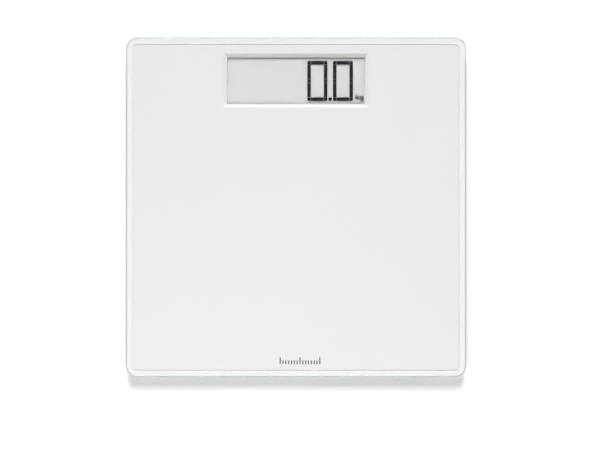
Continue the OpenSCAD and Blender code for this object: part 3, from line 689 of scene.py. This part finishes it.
def studded_shape():
    """A base mesh with a field of low studs, staggered row by row."""
    sizes = ("Pitch", "Field Radius", "Stud Radius", "Stud Height", "Middle X", "Middle Y", "Bottom")
    s = Shape("studded_pad", sizes)
    g = s.given
    rows = 15
    row_step = 0.866
    span = g["Pitch"] * (rows - 1)
    grid = s.add(
        "GeometryNodeMeshGrid",
        {},
        {"Size X": span * row_step, "Size Y": span, "Vertices X": rows, "Vertices Y": rows},
    )
    index = s.add("GeometryNodeInputIndex")
    stagger = ((index / rows).floor() % 2.0) * g["Pitch"] / 2
    shift = s.add("ShaderNodeCombineXYZ", {}, {1: stagger})
    shifted = s.add("GeometryNodeSetPosition", {}, {"Geometry": grid, "Offset": shift})
    place = s.add("GeometryNodeInputPosition")
    reach = s.add("ShaderNodeVectorMath", {"operation": "LENGTH"}, {0: place}, output="Value")
    kept = s.add(
        "GeometryNodeDeleteGeometry",
        {"domain": "POINT"},
        {"Geometry": shifted, "Selection": reach > g["Field Radius"]},
    )
    stud = s.add(
        "GeometryNodeMeshCone",
        {"fill_type": "NGON"},
        {
            "Vertices": 12,
            "Radius Bottom": g["Stud Radius"] * 0.7,
            "Radius Top": g["Stud Radius"],
            "Depth": g["Stud Height"],
        },
    )
    studs = s.add("GeometryNodeInstanceOnPoints", {}, {"Points": kept, "Instance": stud})
    both = s.add("GeometryNodeJoinGeometry", {}, {0: [g["Geometry"], s.placed(studs)]})
    return s.finish(both)


def turned(profile, middle, steps=72):
    """A closed mesh turned about an upright axis from [radius, height] points, axis to axis."""
    shape = bmesh.new()
    rings = []
    for radius, height in profile:
        if radius == 0:
            rings.append([shape.verts.new((middle.x, middle.y, height))])
            continue
        angles = [2 * math.pi * i / steps for i in range(steps)]
        rings.append([
            shape.verts.new((
                middle.x + radius * math.cos(a), middle.y + radius * math.sin(a), height
            ))
            for a in angles
        ])
    for near, far in zip(rings, rings[1:]):
        for i in range(steps):
            k = (i + 1) % steps
            corners = [near[i % len(near)], near[k % len(near)], far[k % len(far)], far[i % len(far)]]
            shape.faces.new(list(dict.fromkeys(corners)))
    bmesh.ops.recalc_face_normals(shape, faces=shape.faces)
    mesh = bpy.data.meshes.new("turned")
    shape.to_mesh(mesh)
    shape.free()
    return mesh


def foot_pads():
    """Rubber pads: a studded middle, ring grooves and a rounded outer edge."""
    studded = studded_shape()
    for corner in CORNERS:
        node = "foot_pad_" + corner
        low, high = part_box(node)
        r = (high.x - low.x) / 2
        groove_w = 1.2 * MM
        groove_h = 0.6 * MM
        slope = 0.12 * MM
        recess = 0.45 * MM
        edge = 0.5 * MM
        profile = [(0, recess), (r * 0.38, recess), (r * 0.395, 0.08 * MM), (r * 0.405, 0)]
        for share in (0.45, 0.62, 0.79):
            near = r * share
            far = near + groove_w
            profile += [(near, 0), (near + slope, groove_h), (far - slope, groove_h), (far, 0)]
        profile += [(r - edge + edge * math.sin(a), edge - edge * math.cos(a))
                    for a in [math.radians(18 * i) for i in range(6)]]
        profile += [(r, high.z), (0, high.z)]
        sizes = {
            "Pitch": 1.75 * MM,
            "Field Radius": r * 0.35,
            "Stud Radius": 0.55 * MM,
            "Stud Height": recess + 0.1 * MM,
            "Middle X": (low.x + high.x) / 2,
            "Middle Y": (low.y + high.y) / 2,
            "Bottom": low.z,
        }
        base = turned(profile, (low + high) / 2)
        piece = studded.make(node + "_finished", materials["grey_rubber"], sizes, base)
        stands_for(smoothed(piece, 35), node)


def visible_mouldings():
    """The mouldings that show from outside, with softened edges."""
    refined_copy("base_tray", 0.22 * MM)
    refined_copy("battery_door", 0.15 * MM)
    refined_copy("unit_button", 0.25 * MM)
    for corner in CORNERS:
        refined_copy("foot_carrier_" + corner, 0.2 * MM)


# ---- Studio ----


def floor():
    """A pale floor. It is clear from below and to light from below, so that the underside shows."""
    f = Finish("studio_floor")
    paper = f.noise(3 * MM, 3.0)
    top = f.principled(
        Base_Color=f.blend(paper, (0.82, 0.82, 0.82), (0.85, 0.85, 0.85)),
        Roughness=0.9,
        Specular_IOR_Level=0.1,
    )
    below = f.add("ShaderNodeNewGeometry", output="Backfacing")
    shadow_ray = f.add("ShaderNodeLightPath", output="Is Shadow Ray")
    clear = f.add("ShaderNodeBsdfTransparent")
    through = below.or_more(shadow_ray)
    material = f.done(f.add("ShaderNodeMixShader", {}, {0: through, 1: top, 2: clear}))
    half = 5.0
    mesh = bpy.data.meshes.new("floor")
    corners = [(-half, -half, 0), (half, -half, 0), (half, half, 0), (-half, half, 0)]
    mesh.from_pydata(corners, [], [(0, 1, 2, 3)])
    mesh.materials.append(material)
    piece = bpy.data.objects.new("floor", mesh)
    bpy.context.scene.collection.objects.link(piece)


def softbox(name, place, size, power, aim=(0, 0, 0.01)):
    """A rectangular soft light that faces a point."""
    light = bpy.data.lights.new(name, "AREA")
    light.shape = "RECTANGLE"
    light.size, light.size_y = size
    light.energy = power
    box = bpy.data.objects.new(name, light)
    box.location = place
    box.rotation_euler = (Vector(aim) - Vector(place)).to_track_quat("-Z", "Y").to_euler()
    box.visible_camera = False
    bpy.context.scene.collection.objects.link(box)


def studio_light():
    """A softbox above the display end, fills in front, to the right and below, and a pale room."""
    softbox("key", (0.0, 2.4, 3.0), (1.5, 2.2), 178)
    softbox("front_fill", (-0.1, -0.6, 0.85), (0.6, 0.4), 6.2)
    softbox("side_fill", (1.7, 0.3, 0.9), (0.6, 0.6), 3)
    softbox("under_fill", (0.5, -0.5, -1.3), (1.0, 1.0), 3.5)
    world = bpy.data.worlds.new("room")
    bpy.context.scene.world = world
    world.use_nodes = True
    world.node_tree.nodes.clear()
    room = Nodes(world.node_tree)
    place = room.add("ShaderNodeTexCoord", output="Generated")
    height = room.add("ShaderNodeSeparateXYZ", {}, {0: place}, output="Z")
    inputs = {0: height, 6: (1.0, 1.0, 1.0, 1.0), 7: (0.12, 0.12, 0.12, 1.0)}
    wall = room.add("ShaderNodeMix", {"data_type": "RGBA"}, inputs, output=2)
    glow = room.add("ShaderNodeBackground", {}, {"Color": wall, "Strength": 0.4})
    room.add("ShaderNodeOutputWorld", {}, {"Surface": glow})
    bpy.context.scene.view_settings.view_transform = "Standard"


def camera():
    """Looks straight down from far away, tilted a little so that the near edge shows."""
    distance = 12.0
    view_width = 0.5294
    tilt = math.radians(3.1)
    aim = Vector((3.5 * MM, -15.9 * MM, CAD_BOX[1].z))
    data = bpy.data.cameras.new("camera")
    data.lens = data.sensor_width * distance / view_width
    data.clip_end = 4 * distance
    item = bpy.data.objects.new("camera", data)
    item.location = aim + distance * Vector((0, -math.sin(tilt), math.cos(tilt)))
    item.rotation_euler = (tilt, 0, 0)
    bpy.context.scene.collection.objects.link(item)
    bpy.context.scene.camera = item


paint_cad_nodes()
glass_platform()
display_glasses()
foot_pads()
visible_mouldings()
floor()
studio_light()
camera()
